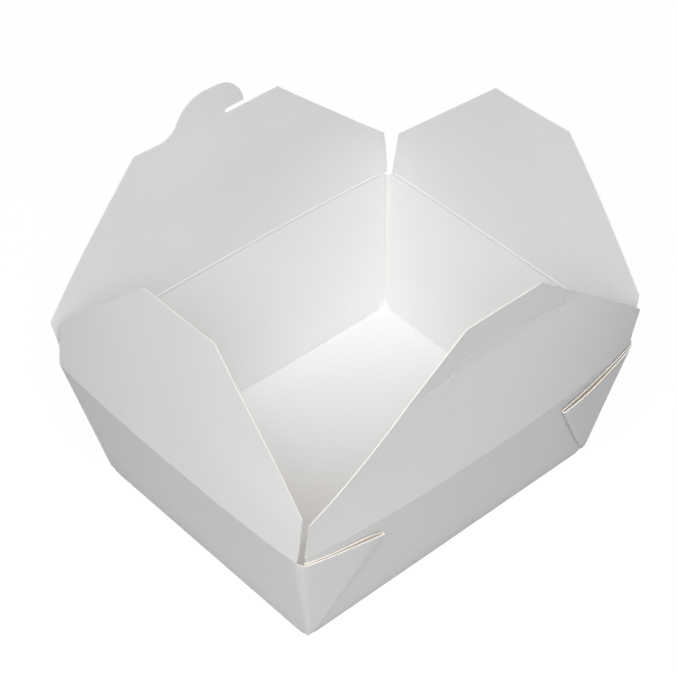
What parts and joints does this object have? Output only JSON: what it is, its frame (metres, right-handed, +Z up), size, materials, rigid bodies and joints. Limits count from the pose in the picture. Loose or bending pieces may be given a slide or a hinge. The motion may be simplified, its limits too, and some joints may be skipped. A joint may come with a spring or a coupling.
{
  "type": "takeout food box",
  "caption": "Open folded paperboard takeout box: tapered tray with web corners, end flaps, a lid with a locking slit and a lid with a hooked tab.",
  "frame": {"origin": "middle of the floor's underside, on the surface that the box stands on", "axes": "+X along the long side, -Y towards the lid with the slit, +Y towards the lid with the tab, +Z up"},
  "size_m": [0.1883, 0.1672, 0.1422],
  "materials": {
    "board": "satin"
  },
  "bodies": {
    "tray": {"tray": "board"},
    "slit_lid": {"slit_lid": "board"},
    "tab_lid": {"tab_lid": "board"},
    "left_end_flap": {"left_end_flap": "board"},
    "right_end_flap": {"right_end_flap": "board"}
  },
  "joints": [
    {"name": "slit_lid_fold", "type": "hinge", "parent": "tray", "child": "slit_lid", "pos_m": [0, -0.07265, 0.0624], "axis": [1, 0, 0], "range_deg": [-97, 128]},
    {"name": "tab_lid_fold", "type": "hinge", "parent": "tray", "child": "tab_lid", "pos_m": [0, 0.07265, 0.063], "axis": [-1, 0, 0], "range_deg": [-98.7, 126.3]},
    {"name": "left_end_fold", "type": "hinge", "parent": "tray", "child": "left_end_flap", "pos_m": [-0.0897, 0, 0.0618], "axis": [0, -1, 0], "range_deg": [-82.8, 142.2]},
    {"name": "right_end_fold", "type": "hinge", "parent": "tray", "child": "right_end_flap", "pos_m": [0.0897, 0, 0.0618], "axis": [0, 1, 0], "range_deg": [-97, 128]}
  ]
}
